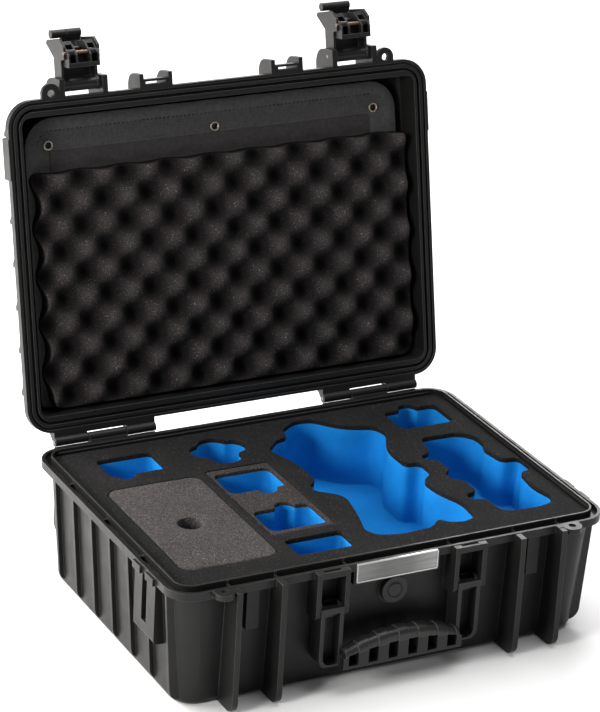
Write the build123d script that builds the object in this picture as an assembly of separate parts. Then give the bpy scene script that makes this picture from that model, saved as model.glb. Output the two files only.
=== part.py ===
from build123d import *
import os

# Hard carrying case for a camera drone, modelled in millimetres.
#
# X runs across the front, Y runs to the back, Z is up. The origin is the centre of the flat
# underside. The case is modelled as it stands open: the lid, its foam and its latches are drawn
# closed first, then turned back about the hinge pins by LID_OPEN degrees.

# ---- driving dimensions -------------------------------------------------------------------
FLANGE_W, FLANGE_D, FLANGE_R = 470.0, 336.0, 27.0   # rim outline shared by base and lid
RIM_Z = 130.0                                       # top of the base rim
RIM_GAP = 0.4                                       # air gap between the closed rims
LID_TOP = 190.0                                     # top of the closed lid
FLANGE_T = 8.0                                      # thickness of either rim flange
WALL = 4.0

HINGE_Y, HINGE_Z = 177.9, 131.7                     # axis of the hinge pins
LID_OPEN = 102.3                                    # opening angle of the lid
PIN_R, PIN_BORE_R, KNUCKLE_R = 2.0, 2.06, 4.7
HINGE_SPANS = ((-208.0, -171.4, -129.4, -97.0), (97.0, 129.4, 171.4, 208.0))

TUB_TOP, TUB_BOTTOM = (456.0, 312.0, 24.0), (439.0, 300.0, 22.0)      # width, depth, corner
CAVITY_TOP, CAVITY_BOTTOM = (447.0, 305.0, 10.0), (430.0, 291.0, 10.0)
CAVITY_RIM = (447.0, 311.4, 10.0)                   # the cavity widens to a ledge under the rim
TONGUE = (9.4, 11.3)                                # raised lip of the base, as insets from the rim
TONGUE_H = 3.5
GASKET_GROOVE = (8.5, 11.7)                         # groove of the lid that takes the lip
LID_BODY, LID_WAIST = (454.0, 314.0, 21.0), (451.0, 311.0, 20.0)     # straight wall of the lid
LID_CROWN = (418.0, 280.0, 18.0)                    # the lid slopes in from waist to crown
LID_MOUTH, LID_BEND = (441.0, 302.0, 9.0), (439.0, 300.0, 9.0)
LID_CEILING = (409.0, 271.0, 9.0)
WAIST_Z, BEND_Z = 154.0, 159.0
LID_INNER_TOP = 186.0

FIN_T = 3.4                                         # side fins of the tub and the lid
BASE_FINS_Y = (119.0, 75.0, 31.0, -12.0, -54.5, -97.5, -141.0)
LID_FINS_Y = (127.0, 83.5, 40.0, -4.0, -47.5, -91.0, -135.0)
LATCH_X = 152.0                                     # centre of each latch bay
BAY_WALLS = ((-26.0, -20.3), (20.3, 26.0))          # fins and lugs beside each latch
FRONT_Y = -180.5                                    # front edge of the front fins
PADLOCK = (187.5, -172.7)
PADLOCK_R = 3.6
TAB_T = 5.5                                         # thickness of the base's padlock tabs

SWING_Y, SWING_Z = -178.0, 142.0                    # latch lever pivot, lid closed
HOOK_Y, HOOK_Z = -210.5, 132.0                      # hook plate pivot, lever straight out
LATCH_PIN_R, LATCH_BORE_R = 1.75, 1.8

HANDLE_Y, HANDLE_Z = -166.0, 88.0                   # handle pivot
HANDLE_PIN_R, HANDLE_BORE_R = 2.5, 2.56
ARM_IN, ARM_OUT = 62.2, 86.2                        # one handle arm, from its inner to outer face
ARM_TOP = 91.5
GRIP_FRONT, GRIP_BACK, GRIP_ROUND = -185.0, -167.0, 7.0
GRIP_TOP, GRIP_BOTTOM, GRIP_ARC = 59.5, 27.5, 158.0
WINDOW_PITCH, WINDOW_W = 21.4, 10.7
WINDOW_FLOOR, WINDOW_TOP, WINDOW_ARC = 31.0, 47.8, 273.0

FOAM_TOP, FOAM_BLACK_T = 128.0, 5.0                 # foam surface and the black layer's thickness
FOAM_BLUE_TOP = FOAM_TOP - FOAM_BLACK_T
FOAM_FIT = 1.0                                      # gap between foam and tub

VALVE_Z, VALVE_R = 90.4, 13.5
PLATE_X = -3.5                                      # middle of the name plate

EYELETS = {"left": (-184.0, -118.0), "centre": (0.0, -118.0), "right": (184.0, -118.0)}
PANEL_Z0, PANEL_Z1 = 155.5, 157.5                   # back sheet of the lid pocket, lid closed
POCKET_FRONT_Z = (154.2, 155.4)                     # front sheet of the lid pocket
CRATE_BOX = (-211.0, 214.5, -95.0, 148.5, 133.5, 154.1)   # egg-crate foam: x, y and z limits

DRONE_POCKET = [(-10, 91), (10, 111), (22, 113), (26, 131), (47, 146), (66, 144), (89, 116), (119, 105),
                (124, 88), (105, 52), (105, 13), (121, 11), (121, -14), (103, -27), (105, -55), (116, -84),
                (112, -116), (98, -123), (82, -119), (74, -109), (60, -122), (24, -124), (2, -117),
                (-4, -104), (5, -74), (14, -30), (-9, -10), (-9, 2), (3, 12), (3, 46), (-4, 74)]
CONTROLLER_POCKET = [(147, 53), (152, 61), (192, 60), (205, 47), (205, 28), (199, 16), (203, -13),
                     (221, -15), (221, -44), (205, -45), (200, -78), (206, -104), (198, -117), (180, -121),
                     (142, -118), (141, -86), (126, -83), (127, -71), (141, -69), (141, -42), (132, -36),
                     (132, -21), (141, -15), (141, 10), (129, 13), (129, 24), (141, 27), (145, 38)]
COVER = (-204.0, -102.0, -120.0, 63.5)             # accessory bay cover: x0, x1, y0, y1
INSERT = (-93.0, -23.0, -81.0, 68.0)               # brown insert around two batteries
DEPTHS = {"drone": 68.0, "controller": 55.0, "battery": 58.0, "charger": 45.0, "adapter": 40.0,
          "propellers": 40.0, "cover": 70.0}


# ---- helpers ------------------------------------------------------------------------------
def block(x0, x1, y0, y1, z0, z1):
    """A box from its low and high coordinates."""
    size = Box(abs(x1 - x0), abs(y1 - y0), abs(z1 - z0))
    return Pos((x0 + x1) / 2, (y0 + y1) / 2, (z0 + z1) / 2) * size


def slab(outline, z0, z1, offset=0.0):
    """A rounded rectangle (width, depth, corner), grown by offset, between two heights."""
    width, depth, corner = outline
    face = RectangleRounded(width + 2 * offset, depth + 2 * offset, corner + offset)
    return raised(face, z0, z1)


def tapered(low, z0, high, z1):
    """A rounded-rectangle body that changes size between two heights."""
    faces = [Pos(0, 0, z) * RectangleRounded(w, d, r) for (w, d, r), z in ((low, z0), (high, z1))]
    return loft(faces)


def rim_ring(inset0, inset1, z0, z1):
    """A ring that follows the rim, between two insets from its outer edge."""
    rim = (FLANGE_W, FLANGE_D, FLANGE_R)
    return slab(rim, z0, z1, -inset0) - slab(rim, z0 - 1, z1 + 1, -inset1)


def across(points, x0, x1, corner=0.0, which=None):
    """A side profile in (y, z) carried from x0 to x1, with chosen corners rounded."""
    face = Polygon(*points, align=None)
    if corner:
        chosen = face.vertices()
        if which is not None:
            chosen = [v for v in chosen if any(near(v, points[i]) for i in which)]
        face = fillet(chosen, corner)
    return extrude(Plane.YZ.offset(x0) * face, x1 - x0, dir=(1, 0, 0))


def near(vertex, point):
    return abs(vertex.X - point[0]) < 0.01 and abs(vertex.Y - point[1]) < 0.01


def frontal(face, y0, y1):
    """A face drawn in (x, z), carried from y1 forward to y0."""
    return extrude(Plane.XZ.offset(-y1) * face, y1 - y0, dir=(0, -1, 0))


def rod(x0, x1, y, z, radius):
    """A cylinder along X."""
    return extrude(Plane.YZ.offset(x0) * Pos(y, z) * Circle(radius), x1 - x0, dir=(1, 0, 0))


def raised(face, z0, z1):
    """A face drawn in (x, y), carried up from z0 to z1."""
    return extrude(Pos(0, 0, z0) * face, z1 - z0, dir=(0, 0, 1))


def both(part):
    """A part and its mirror image across the middle of the case."""
    return [part, mirror(part, about=Plane.YZ)]


def joined(parts):
    """The union of a list of parts."""
    parts = list(parts)
    return parts[0].fuse(*parts[1:]) if len(parts) > 1 else parts[0]


def opened(part):
    """Turns a part drawn on the closed lid back to the open lid."""
    axis = Axis((0, HINGE_Y, HINGE_Z), (1, 0, 0))
    return part.rotate(axis, -LID_OPEN)


def save(name, part, turned=False):
    """Writes one sub-part, turned with the open lid where asked."""
    part = opened(part) if turned else part
    solids = part.solids()
    shape = solids[0] if len(solids) == 1 else Compound(children=list(solids))
    export_step(shape, f"parts/{name}.step")


# ---- base ---------------------------------------------------------------------------------
def latch_bay_fins():
    """The deep fins on the front of the tub, either side of each latch."""
    profile = [(-150, RIM_Z - 0.5), (FRONT_Y, RIM_Z - 0.5), (FRONT_Y, 1.2), (-140, 1.2)]
    return [across(profile, LATCH_X + a, LATCH_X + b, 12.0, (2,)) for a, b in BAY_WALLS]


def handle_bracket():
    """Two cheeks and a slotted bridge that carry one end of the handle."""
    profile = [(-150, RIM_Z - 0.5), (-175, RIM_Z - 0.5), (-175, 80), (-150, 80)]
    cheeks = [across(profile, a, b, 6.0, (2,)) for a, b in ((57.0, 61.6), (86.8, 91.6))]
    bridge = block(57, 91.6, -175, -150, 123.5, RIM_Z - 0.5)
    slot = block(65, 83.5, -172, -168.8, 120, RIM_Z + 1)
    bores = rod(50, 100, HANDLE_Y, HANDLE_Z, HANDLE_PIN_R)
    return joined(cheeks + [bridge]) - slot - bores


def padlock_tab(z0, z1):
    """A rounded ear beside a latch with a vertical hole for a padlock."""
    x, y = PADLOCK
    ear = raised(Pos(x, y) * Circle(9.8), z0, z1)
    return ear + block(LATCH_X + 20.3, x + 9.8, y, -160, z0, z1)


def padlock_hole():
    x, y = PADLOCK
    return Pos(x, y, RIM_Z) * Cylinder(PADLOCK_R, 60)


def hinge_knuckle(span, base):
    """The base carries the middle knuckle of each hinge and the lid the outer two."""
    a, b, c, d = span
    gap = 0.5
    pieces = []
    if base:
        x0, x1 = b + gap, c - gap
        arm = [(160, 112), (172, 116), (HINGE_Y + KNUCKLE_R, HINGE_Z), (HINGE_Y, HINGE_Z),
               (172.6, RIM_Z - 0.3), (160, RIM_Z - 0.3)]
        pieces = [rod(x0, x1, HINGE_Y, HINGE_Z, KNUCKLE_R), across(arm, x0, x1)]
    else:
        leaf = [(155, RIM_Z + RIM_GAP), (HINGE_Y, RIM_Z + RIM_GAP), (HINGE_Y, HINGE_Z + KNUCKLE_R),
                (172.5, 141), (168, 148), (155, 152)]
        for x0, x1 in ((a, b - gap), (c + gap, d)):
            pieces += [rod(x0, x1, HINGE_Y, HINGE_Z, KNUCKLE_R), across(leaf, x0, x1)]
        web = [(155, RIM_Z + RIM_GAP), (171.8, RIM_Z + RIM_GAP), (171.8, 141.5), (168, 148), (155, 152)]
        pieces.append(across(web, a + 1, d - 1))
    return joined(pieces) - rod(a - 5, d + 5, HINGE_Y, HINGE_Z, PIN_BORE_R)


def hinge_shelf(span):
    """The rim carried back under the knuckles of one hinge."""
    return block(span[0], span[-1], 160, 177.5, 117, HINGE_Z - KNUCKLE_R - 0.6)


def strap_bracket():
    """The side block that a shoulder strap hooks onto, rounded at its foot."""
    body = block(212, FLANGE_W / 2, -124, -79, 58.6, RIM_Z - 3)
    foot = body.edges().filter_by(Axis.Y).group_by(Axis.Z)[0].sort_by(Axis.X)[-1]
    horns = [block(FLANGE_W / 2 - 4, FLANGE_W / 2 + 3.2, y, y + 16.5, RIM_Z - 9, RIM_Z - 1.5)
             for y in (-124.0, -95.5)]
    return joined([fillet(foot, 5.0)] + horns)


def make_base_shell():
    fin = Polygon((205, 123), (232.7, 123), (224.8, 6.5), (205, 6.5), align=None)
    fin = fillet([v for v in fin.vertices() if v.X > 220 and v.Y < 30], 12.0)
    tub = tapered(TUB_BOTTOM, 0, TUB_TOP, RIM_Z - FLANGE_T + 2)
    tub = fillet(tub.edges().group_by(Axis.Z)[0], 9.0)
    side = [frontal(fin, y - FIN_T / 2, y + FIN_T / 2) for y in BASE_FINS_Y]
    back = [(150, 123), (176, 112), (176, 40), (150, 26)]
    side += [across(back, x - FIN_T / 2, x + FIN_T / 2, 8.0, (1, 2)) for x in (98, 152, 206)]
    side += latch_bay_fins()
    side += [handle_bracket(), padlock_tab(RIM_Z - TAB_T, RIM_Z), strap_bracket()]
    side.append(block(LATCH_X - 6.5, LATCH_X + 6.5, -162.0, -150, 79, 123))
    side += [hinge_knuckle(HINGE_SPANS[1], base=True), hinge_shelf(HINGE_SPANS[1])]
    plate_boss = block(PLATE_X - 46, PLATE_X + 46, -168.2, -150, 108, RIM_Z - 0.2)
    valve_boss = frontal(Pos(0, VALVE_Z) * Circle(VALVE_R + 2.5), -156.5, -150)
    flange = slab((FLANGE_W, FLANGE_D, FLANGE_R), RIM_Z - FLANGE_T, RIM_Z)
    shell = tub.fuse(flange, plate_boss, valve_boss, *[p for s in side for p in both(s)])
    shell -= tapered(CAVITY_BOTTOM, WALL, CAVITY_TOP, RIM_Z + 0.01)
    shell -= slab(CAVITY_RIM, FOAM_BLUE_TOP - 0.4, RIM_Z + 5)
    shell -= rim_ring(3.2, TONGUE[0], RIM_Z - 5, RIM_Z + 1)
    shell = shell.fuse(rim_ring(*TONGUE, RIM_Z - 1.5, RIM_Z + TONGUE_H), *rim_ribs())
    slot = block(229.0, FLANGE_W / 2 + 5, -106.0, -95.5, 73, RIM_Z - FLANGE_T)
    shell = shell.cut(*both(slot), *both(padlock_hole()))
    shell -= frontal(Pos(0, VALVE_Z) * Circle(9.0), -170, -140)
    return shell


def rim_ribs():
    """Small cross ribs that brace the groove in the base rim, each with a pip against the lip."""
    y, x = FLANGE_D / 2, FLANGE_W / 2
    ribs = []
    for s in (-1, 1):
        for inset, half, top in ((6.4, 3.5, RIM_Z - 0.6), (9.4, 0.5, RIM_Z + TONGUE_H - 0.2)):
            ribs += [block(px - 1, px + 1, s * (y - inset - half), s * (y - inset + half), RIM_Z - 5.5, top)
                     for px in (-177.5, -128.5, -56.4, 56.4, 128.5, 177.5)]
            ribs += [block(s * (x - inset - half), s * (x - inset + half), py - 1, py + 1, RIM_Z - 5.5, top)
                     for py in (-78, 5, 88)]
    return ribs


def make_name_plate():
    at = Pos(PLATE_X, 119.8)
    plate = frontal(at * RectangleRounded(88, 20, 1.5), -169.8, -168.25)
    return plate - frontal(at * RectangleRounded(85, 17, 1.0), -170.5, -169.4)


def make_valve():
    """Housing, sealing ring, breathing membrane and cap of the pressure valve."""
    at = Pos(0, VALVE_Z)
    housing = frontal(at * Circle(VALVE_R), -161.5, -157.3) + frontal(at * Circle(8.8), -157.4, -150.2)
    housing -= frontal(at * Circle(6.0), -170, -140)
    housing -= frontal(at * (Circle(8.9) - Circle(8.1)), -162, -160.9)
    housing -= frontal(at * Circle(7.4), -162, -159.6)
    seal = frontal(at * (Circle(12.6) - Circle(9.1)), -157.25, -156.55)
    membrane = frontal(at * Circle(5.9), -155, -154)
    cap = frontal(at * Circle(7.0), -161.9, -159.65)
    cap = fillet(cap.edges().group_by(Axis.Y)[0], 0.6)
    return {"valve_housing": housing, "valve_seal": seal, "valve_membrane": membrane, "valve_cap": cap}


# ---- handle -------------------------------------------------------------------------------
def make_handle_frame():
    """Two channel-shaped arms joined by a barred lower beam."""
    side = Polygon((-176, 27), (-176, ARM_TOP), (-156, ARM_TOP), (-156, 27), align=None)
    side = fillet([v for v in side.vertices() if v.Y < 30], 5.0)
    side = side + Pos(HANDLE_Y, HANDLE_Z) * Circle(7.0)
    arm = extrude(Plane.YZ.offset(ARM_IN) * side, ARM_OUT - ARM_IN, dir=(1, 0, 0))
    front = Polygon((ARM_IN, 110), (ARM_OUT, 110), (ARM_OUT, 27), (ARM_IN, 27), align=None)
    front = fillet([v for v in front.vertices() if v.Y < 30 and v.X > 80], 12.0)
    arm &= frontal(front, -190, -140)
    pocket = Polygon((66, 110), (82.4, 110), (82.4, 31), (66, 31), align=None)
    pocket = fillet([v for v in pocket.vertices() if v.Y < 40 and v.X > 80], 8.5)
    arm -= frontal(pocket, -180, -161.5)
    arm += block(65, 83, -168.5, -158, HANDLE_Z - 9, HANDLE_Z - 6.5)
    arm += block(65, 83, -176, -171, ARM_TOP - 6, ARM_TOP)
    arm -= rod(50, 100, HANDLE_Y, HANDLE_Z, HANDLE_BORE_R)
    beam = arch(WINDOW_TOP, WINDOW_ARC, GRIP_BOTTOM, ARM_IN + 2)
    beam = fillet(frontal(beam, GRIP_FRONT, GRIP_BACK).edges().filter_by(Axis.X).group_by(Axis.Z)[0], 1.5)
    frame = beam.fuse(*both(arm))
    for centre in window_centres():
        frame -= block(centre - WINDOW_W / 2, centre + WINDOW_W / 2, -190, -150, WINDOW_FLOOR, 60)
    return frame


def arch(top, radius, bottom, half_width):
    """A face in (x, z) with a flat foot and a round top."""
    disc = Pos(0, top - radius) * Circle(radius)
    frame = Pos(0, (top + bottom) / 2 + 1) * Rectangle(2 * half_width, top - bottom + 2)
    return disc & frame & (Pos(0, bottom + 50) * Rectangle(2 * half_width, 100))


def window_centres():
    return [(k - 2.5) * WINDOW_PITCH for k in range(6)]


def arcs(part):
    """The round edges of a part."""
    return [e for e in part.edges() if e.geom_type == GeomType.CIRCLE]


def make_handle_grip():
    """The rubber cap over the beam, with raised bands between the windows."""
    half = ARM_IN - 0.3
    top = arch(GRIP_TOP, GRIP_ARC, GRIP_BOTTOM, half)
    cap = frontal(top, GRIP_FRONT, GRIP_BACK)
    cap = fillet(arcs(cap), GRIP_ROUND)
    below = arch(WINDOW_TOP, WINDOW_ARC, 0, half + 5)
    cap -= frontal(below, GRIP_FRONT - 5, GRIP_BACK + 5)
    sunk_by = 1.1
    inner = frontal(arch(GRIP_TOP - sunk_by, GRIP_ARC - sunk_by, 0, half + 5), GRIP_FRONT + sunk_by,
                    GRIP_BACK - sunk_by)
    inner = fillet(arcs(inner), GRIP_ROUND - sunk_by)
    for centre in window_centres():
        band = block(centre - WINDOW_W / 2, centre + WINDOW_W / 2, -190, -150, GRIP_BOTTOM, 80)
        cap -= band - inner
    return cap


# ---- lid ----------------------------------------------------------------------------------
def latch_lugs():
    """The two lugs on the lid that carry a latch lever, rounded at the top."""
    low = RIM_Z + RIM_GAP
    profile = [(-140, low), (-185.5, low), (-185.5, 168), (-140, 168)]
    return [across(profile, LATCH_X + a, LATCH_X + b, 17.0, (2,)) for a, b in BAY_WALLS]


def lid_ears():
    """Two ears and a low slotted bar that meet the handle bracket when the lid is shut."""
    low = RIM_Z + RIM_GAP
    profile = [(-140, low), (-182, low), (-182, 160), (-140, 160)]
    ears = [across(profile, a, b, 14.0, (2,)) for a, b in ((55.5, 60.0), (87.0, 91.6))]
    bar = block(55.5, 91.6, -176.5, -160, low, low + 7)
    return joined(ears + [bar]) - block(63.5, 85.0, -174.0, -171.5, low - 1, low + 9)


def make_lid_shell():
    low = RIM_Z + RIM_GAP
    crown = tapered(LID_WAIST, WAIST_Z, LID_CROWN, LID_TOP)
    crown = fillet(crown.edges().group_by(Axis.Z)[-1], 9.0)
    crown += tapered(LID_BODY, low + 4, LID_WAIST, WAIST_Z)
    flange = slab((FLANGE_W, FLANGE_D, FLANGE_R), low, low + FLANGE_T)
    fin = Polygon((212, low + 4), (233, low + 4), (233, 148), (221.5, 173), (212, 173), align=None)
    fin = fillet([v for v in fin.vertices() if v.X > 230 and v.Y > 140], 5.0)
    extras = [frontal(fin, y - FIN_T / 2, y + FIN_T / 2) for y in LID_FINS_Y]
    extras += latch_lugs() + [lid_ears(), padlock_tab(low, low + 4.5)]
    extras.append(block(218, 236, -132, -91, low, 146))
    extras.append(hinge_knuckle(HINGE_SPANS[1], base=False))
    shell = crown.fuse(flange, *[p for s in extras for p in both(s)], *lid_top_pads())
    cavity = tapered(LID_MOUTH, low - 0.01, LID_BEND, BEND_Z)
    cavity += tapered(LID_BEND, BEND_Z, LID_CEILING, LID_INNER_TOP)
    shell -= cavity
    shell = shell.fuse(*[screw_post(x, y) for x, y in EYELETS.values()])
    shell -= rim_ring(2.8, 5.4, low - 1, low + 3.5)
    shell -= rim_ring(*GASKET_GROOVE, low - 1, low + 7.6)
    pivots = rod(LATCH_X - 30, LATCH_X + 30, SWING_Y, SWING_Z, LATCH_PIN_R)
    shell = shell.cut(*both(padlock_hole()), *both(pivots))
    return shell


def screw_post(x, y):
    """A tapped post inside the lid that holds one eyelet of the pocket."""
    post = Pos(x, y) * raised(Circle(6.0), PANEL_Z1 + 2.6, LID_INNER_TOP + 1)
    return post - Pos(x, y) * raised(Circle(1.4), PANEL_Z1, 170)


def lid_top_pads():
    """Low rounded pads on top of the lid that keep stacked cases in place."""
    pads = []
    for x in (-144, -48, 48, 144):
        face = RectangleRounded(58, 200, 14)
        pad = Pos(x, 0, 0) * raised(face, LID_TOP - 1, LID_TOP + 2.2)
        pads.append(fillet(pad.edges().group_by(Axis.Z)[-1], 1.8))
    return pads


def make_lid_gasket():
    low = RIM_Z + RIM_GAP
    return rim_ring(GASKET_GROOVE[0] + 0.1, GASKET_GROOVE[1] - 0.1, low + 4.0, low + 7.5)


def panel_outline(grow=0.0):
    """The lid pocket's fabric outline: square at the hinge side, round at the front."""
    half, front, back = 208.0 + grow, -141.0 - grow, 147.0 + grow
    face = Polygon((-half, front), (half, front), (half, back), (-half, back), align=None)
    return fillet([v for v in face.vertices() if v.Y < 0], 30.0 + grow)


def make_lid_pocket():
    """Back sheet, front sheet, eyelets and the screws that hold the pocket to its posts."""
    panel = raised(panel_outline(), PANEL_Z0, PANEL_Z1)
    front = raised(rounded(-177.0, 177.0, -112.0, 144.0, 2.0), *POCKET_FRONT_Z)
    parts = {"pocket_front": front}
    screws = []
    for name, (x, y) in EYELETS.items():
        at = Pos(x, y)
        panel -= at * Pos(0, 0, 150) * Cylinder(3.4, 60)
        ring = at * raised(Circle(5.4) - Circle(2.6), PANEL_Z0 - 1.0, PANEL_Z0 - 0.05)
        barrel = at * raised(Circle(3.35) - Circle(2.6), PANEL_Z0 - 0.2, PANEL_Z0 + 2.6)
        parts[f"eyelet_{name}"] = ring + barrel
        head = at * raised(Circle(2.4), 157, 160.1)
        shank = at * raised(Circle(1.4), 160, 170)
        screws.append(head + shank)
    parts["pocket_panel"] = panel
    parts["panel_screws"] = Compound(children=[s.solid() for s in screws])
    return parts


def make_egg_crate_foam():
    x0, x1, y0, y1, z0, z1 = CRATE_BOX
    return raised(rounded(x0, x1, y0, y1, 16.0), z0, z1)


# ---- latches ------------------------------------------------------------------------------
def make_latch(x):
    """Lever, hook plate and hook pin of one latch, with the lever standing straight out."""
    cheek = [(-171.5, 149), (-171.5, 157), (-204.5, 157), (-217.5, 175), (-221.0, 168), (-223.5, 141),
             (-216.5, 131), (-204.5, 131), (-203, 139), (-184, 139), (-178, 134.8)]
    plate = [(-172, 153.4), (-172, 157), (-204.5, 157), (-217.5, 175), (-220.8, 172.2), (-206, 153.4)]
    ears = []
    for s0, s1 in ((-19.4, -17.0), (17.0, 19.4)):
        ears.append(across(cheek, x + s0, x + s1))
        ears.append(rod(x + s0, x + s1, SWING_Y, SWING_Z, 7.2))
    for s0, s1 in ((-19.4, -12.0), (12.0, 19.4)):
        ears.append(rod(x + s0, x + s1, SWING_Y, SWING_Z, 6.0))
        ears.append(across([(-172, 146), (-172, 157), (-184, 157), (-184, 143)], x + s0, x + s1))
    ears.append(across(plate, x - 19.4, x + 19.4))
    foot = [(-172, 157), (-184, 157), (-184, 153.4), (-183.6, 145), (-178, 136), (-172, 136)]
    ears += [across(foot, x - 19.4, x + 19.4), rod(x - 19.4, x + 19.4, SWING_Y, SWING_Z, 6.4)]
    tongue = [(-205, 157), (-219.5, 172), (-216.0, 160), (-213.6, 146), (-207.0, 146), (-206.2, 152)]
    ears.append(across(tongue, x - 6.2, x + 6.2))
    for s0, s1 in ((-16.0, -0.7), (0.7, 16.0)):
        ears.append(rod(x + s0, x + s1, -226, 170.5, 4.4))
    ears.append(rod(x - 1.0, x + 1.0, -226, 170.5, 3.6))
    ears.append(across([(-217, 175), (-220.8, 168.5), (-227, 167.5), (-226, 173.5)], x - 4.5, x + 16.0))
    lever = joined(ears)
    lever -= rod(x - 30, x + 30, SWING_Y, SWING_Z, LATCH_BORE_R)
    lever -= rod(x - 30, x + 30, HOOK_Y, HOOK_Z, LATCH_PIN_R)

    wing = [(-196.3, 125), (-208.5, 125), (-221, 141), (-218.6, 159.5), (-204.5, 146), (-196.3, 137.5)]
    hook = []
    for s0, s1 in ((-16.7, -6.7), (6.7, 16.7)):
        side = across(wing, x + s0, x + s1)
        window = block(x + s0 + 1.5, x + s1 - 1.5, -218.0, -198.3, 120, 141)
        hook += [side - window, rod(x + s0, x + s1, HOOK_Y, HOOK_Z, 3.2)]
    hook.append(across([(-196.3, 125), (-200.5, 125), (-200.5, 131), (-196.3, 134)], x - 16.7, x + 16.7))
    hook_plate = joined(hook) - rod(x - 30, x + 30, HOOK_Y, HOOK_Z, LATCH_BORE_R)
    pin = rod(x - 19.3, x + 19.3, HOOK_Y, HOOK_Z, LATCH_PIN_R)
    pivot = rod(x - 26.0, x + 26.0, SWING_Y, SWING_Z, LATCH_PIN_R)
    return {"latch_lever": lever, "latch_hook": hook_plate, "hook_pin": pin, "latch_pivot_pin": pivot}


# ---- foam inlay ---------------------------------------------------------------------------
def smooth_pocket(points):
    """A free-form pocket outline, each corner rounded by 0.42 of its shorter side's length."""
    spots = [Vector(*p) for p in points]
    path = []
    for i, spot in enumerate(spots):
        before, after = spots[i - 1] - spot, spots[(i + 1) % len(spots)] - spot
        reach = 0.42 * min(before.length, after.length)
        path.append((spot + before.normalized() * reach, spot, spot + after.normalized() * reach))
    edges = []
    for i, (start, corner, end) in enumerate(path):
        following = path[(i + 1) % len(path)][0]
        edges += [Bezier(start, corner, end), Line(end, following)]
    return make_face(Wire(edges))


def rounded(x0, x1, y0, y1, radius):
    return Pos((x0 + x1) / 2, (y0 + y1) / 2) * RectangleRounded(x1 - x0, y1 - y0, radius)


def battery_pocket(x0, y0, notch_x, back):
    """A battery-sized pocket with one finger scallop on its long side."""
    width, depth = 62.0, 45.0
    y = y0 + depth if back else y0
    return rounded(x0, x0 + width, y0, y0 + depth, 8.0) + Pos(notch_x, y) * Circle(10.5)


def pockets():
    """Every pocket outline by name, with the depth key it is cut to."""
    lobes = [Pos(-57, 121) * Circle(17), Pos(-41, 113) * Circle(15), Pos(-72, 112) * Circle(15),
             Pos(-57, 95) * Circle(17)]
    return {
        "drone": ("drone", smooth_pocket(DRONE_POCKET)),
        "controller": ("controller", smooth_pocket(CONTROLLER_POCKET)),
        "battery_right": ("battery", battery_pocket(143, 86, 174, True)),
        "charger": ("charger", rounded(-184, -124, 90, 130, 5) + Pos(-168, 90) * Circle(9)),
        "adapter": ("adapter", rounded(-88, -27, -129, -96, 5)),
        "propellers": ("propellers", lobes[0] + lobes[1] + lobes[2] + lobes[3]),
    }


def battery_pockets_left():
    return [battery_pocket(-89, 14, -50, False), battery_pocket(-89, -74, -52, True)]


def sunk(face, top, depth):
    """A pocket cutter from top down by depth, standing a little proud of the top."""
    return raised(face, top - depth, top + 1)


def make_foam():
    """Black skin, blue core, bay cover and battery insert of the foam inlay."""
    width, depth, corner = CAVITY_TOP
    low = (CAVITY_BOTTOM[0] - 2 * FOAM_FIT, CAVITY_BOTTOM[1] - 2 * FOAM_FIT, CAVITY_BOTTOM[2] - FOAM_FIT)
    high = (CAVITY_TOP[0] - 3 - 2 * FOAM_FIT, CAVITY_TOP[1] - 2 - 2 * FOAM_FIT, CAVITY_TOP[2] - FOAM_FIT)
    core = tapered(low, WALL + 0.2, high, FOAM_BLUE_TOP)
    skin_width, skin_depth = width - 2.5 * FOAM_FIT, depth - 2.5 * FOAM_FIT
    skin_face = RectangleRounded(skin_width, skin_depth, corner - FOAM_FIT)
    skin = raised(skin_face, FOAM_BLUE_TOP + 0.05, FOAM_TOP)
    for key, face in pockets().values():
        skin -= sunk(face, FOAM_TOP, FOAM_BLACK_T + 2)
        core -= sunk(face, FOAM_TOP, DEPTHS[key])
    core = core.cut(*[sunk(face, FOAM_TOP, DEPTHS["battery"]) for face in battery_pockets_left()])
    x0, x1, y0, y1 = COVER
    bay = rounded(x0, x1, y0, y1, 13)
    skin -= sunk(bay, FOAM_TOP, FOAM_BLACK_T + 2)
    core -= sunk(bay, FOAM_TOP, 22.0)
    core -= sunk(rounded(x0 + 8, x1 - 8, y0 + 8, y1 - 8, 10), FOAM_TOP, DEPTHS["cover"])
    lid_face = rounded(x0 + 0.6, x1 - 0.6, y0 + 0.6, y1 - 0.6, 12.4)
    cover = raised(lid_face, FOAM_TOP - 21.8, FOAM_TOP - 0.2)
    cover -= Pos(-154.5, -29.5, 110) * Cylinder(12.5, 80)
    a0, a1, b0, b1 = INSERT
    skin -= sunk(rounded(a0, a1, b0, b1, 3), FOAM_TOP, FOAM_BLACK_T + 2)
    insert_face = rounded(a0 + 0.4, a1 - 0.4, b0 + 0.4, b1 - 0.4, 2.6)
    insert = raised(insert_face, FOAM_BLUE_TOP + 0.05, FOAM_TOP - 0.8)
    insert = insert.cut(*[sunk(face, FOAM_TOP, FOAM_BLACK_T + 2) for face in battery_pockets_left()])
    return {"foam_skin": skin, "foam_core": core, "foam_bay_cover": cover, "battery_insert": insert}


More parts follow.
